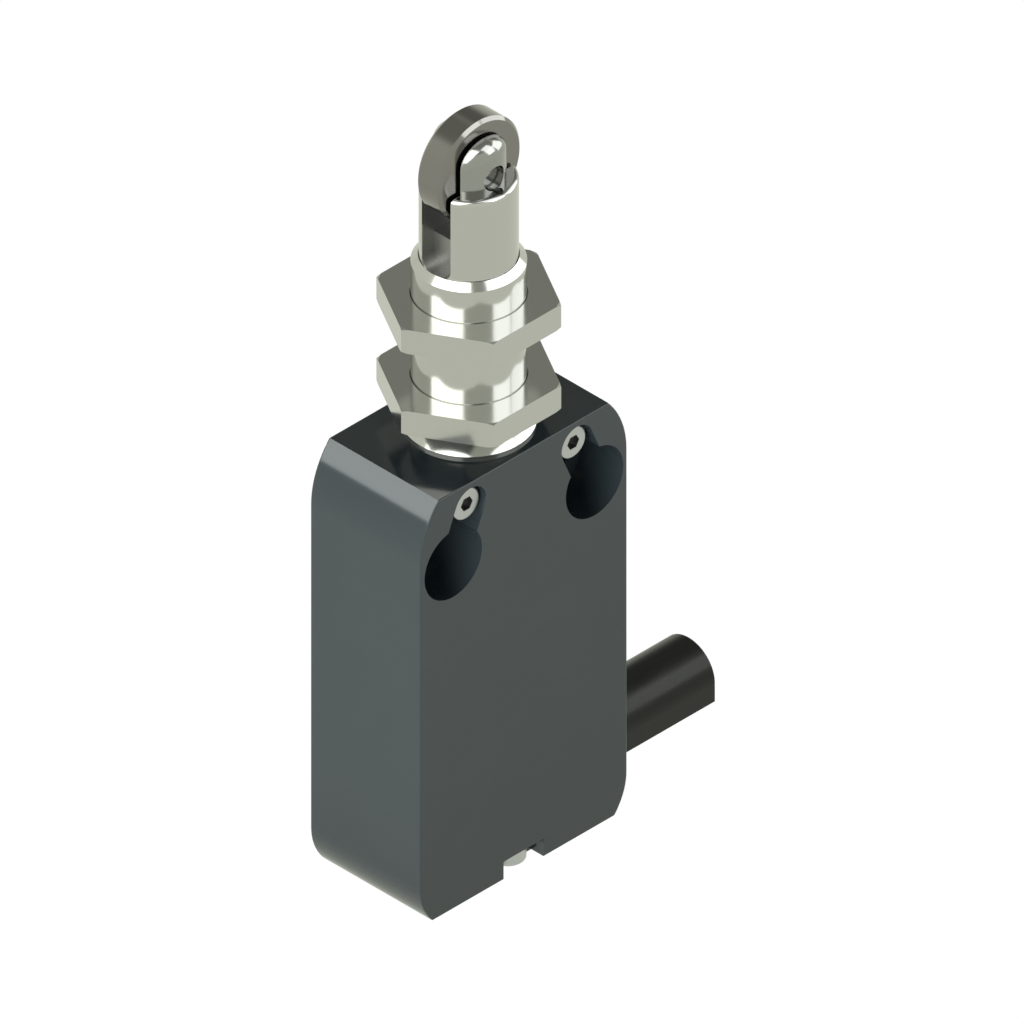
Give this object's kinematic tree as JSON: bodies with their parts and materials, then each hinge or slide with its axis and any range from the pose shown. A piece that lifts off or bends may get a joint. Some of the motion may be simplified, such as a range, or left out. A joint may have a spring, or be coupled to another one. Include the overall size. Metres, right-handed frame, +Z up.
{
  "type": "roller plunger limit switch",
  "caption": "Miniature limit switch with a sprung roller plunger in a nutted barrel, a counterbored flat body and a side cable stub.",
  "frame": {"origin": "middle of the body's bottom face, under the plunger's axis", "axes": "+X along the 30 mm width towards the cable, +Y towards the back of the body, +Z up the plunger to the roller"},
  "size_m": [0.0469, 0.017, 0.0906],
  "materials": {
    "housing_polyamide": "moulded glass-filled polyamide, fine satin texture",
    "nickel_brass": "turned brass, bright nickel plated",
    "stainless_steel": "turned stainless steel, fine turning marks",
    "roller_steel": "hardened steel, ground",
    "screw_steel": "zinc plated steel",
    "spring_steel": "drawn wire",
    "insert_brass": "plain turned brass",
    "contact_brass": "stamped brass strip",
    "contact_silver": "silver alloy rivet",
    "block_polymer": "moulded thermoplastic, natural colour",
    "slider_polymer": "moulded thermoplastic, red",
    "seal_nitrile": "moulded nitrile rubber",
    "cable_pvc": "extruded PVC, satin",
    "clamp_polymer": "moulded polyamide",
    "core_black": "extruded PVC",
    "core_brown": "extruded PVC",
    "core_blue": "extruded PVC",
    "core_grey": "extruded PVC",
    "conductor_copper": "bare stranded copper",
    "solder_tin": "soft solder"
  },
  "bodies": {
    "body": {"housing": "housing_polyamide", "end_cap": "housing_polyamide", "cap_gasket": "seal_nitrile", "threaded_barrel": "nickel_brass", "barrel_seal": "seal_nitrile", "head_screws": "screw_steel", "cap_screws": "screw_steel", "head_inserts": "insert_brass", "cap_inserts": "insert_brass", "return_spring": "spring_steel", "contact_block": "block_polymer", "block_cover": "block_polymer", "slider_spring": "spring_steel", "nc_terminal_left": "contact_brass", "nc_terminal_right": "contact_brass", "no_terminal_left": "contact_brass", "no_terminal_right": "contact_brass", "fixed_contacts": "contact_silver", "cable_sheath": "cable_pvc", "cable_clamp": "clamp_polymer", "cable_grommet": "seal_nitrile", "core_1": "core_black", "core_2": "core_brown", "core_3": "core_blue", "core_4": "core_grey", "conductors": "conductor_copper", "solder_joints": "solder_tin"},
    "plunger": {"plunger": "stainless_steel", "roller_pin": "stainless_steel", "plunger_seal": "seal_nitrile", "retaining_clip": "spring_steel"},
    "roller": {"roller": "roller_steel"},
    "lower_nut": {"lower_nut": "nickel_brass"},
    "upper_nut": {"upper_nut": "nickel_brass"},
    "slider": {"contact_slider": "slider_polymer", "nc_bridge": "contact_brass", "nc_bridge_contacts": "contact_silver", "nc_bridge_spring": "spring_steel"},
    "no_bridge": {"no_bridge": "contact_brass", "no_bridge_contacts": "contact_silver", "no_bridge_spring": "spring_steel"}
  },
  "joints": [
    {"name": "plunger_travel", "type": "slide", "parent": "body", "child": "plunger", "axis": [0, 0, -1], "range_m": [0, 0.005], "stiffness_N_per_m": 900, "springref_m": -0.005, "deforming": ["return_spring"]},
    {"name": "roller_spin", "type": "hinge", "parent": "plunger", "child": "roller", "pos_m": [0, 0, 0.0846], "axis": [0, 1, 0], "continuous": true},
    {"name": "lower_nut_travel", "type": "slide", "parent": "body", "child": "lower_nut", "axis": [0, 0, 1], "range_m": [0, 0.0034]},
    {"name": "upper_nut_travel", "type": "slide", "parent": "body", "child": "upper_nut", "axis": [0, 0, 1], "range_m": [-0.0036, 0.0038]},
    {"name": "slider_travel", "type": "slide", "parent": "body", "child": "slider", "axis": [0, 0, -1], "range_m": [0, 0.005], "deforming": ["slider_spring"]},
    {"name": "no_bridge_travel", "type": "slide", "parent": "body", "child": "no_bridge", "axis": [0, 0, -1], "range_m": [0, 0.0028], "deforming": ["no_bridge_spring"]}
  ],
  "couplings": [
    {"joint": "slider_travel", "follows": "plunger_travel", "ratio": 1},
    {"joint": "no_bridge_travel", "follows": "plunger_travel", "ratio": 0.56}
  ]
}
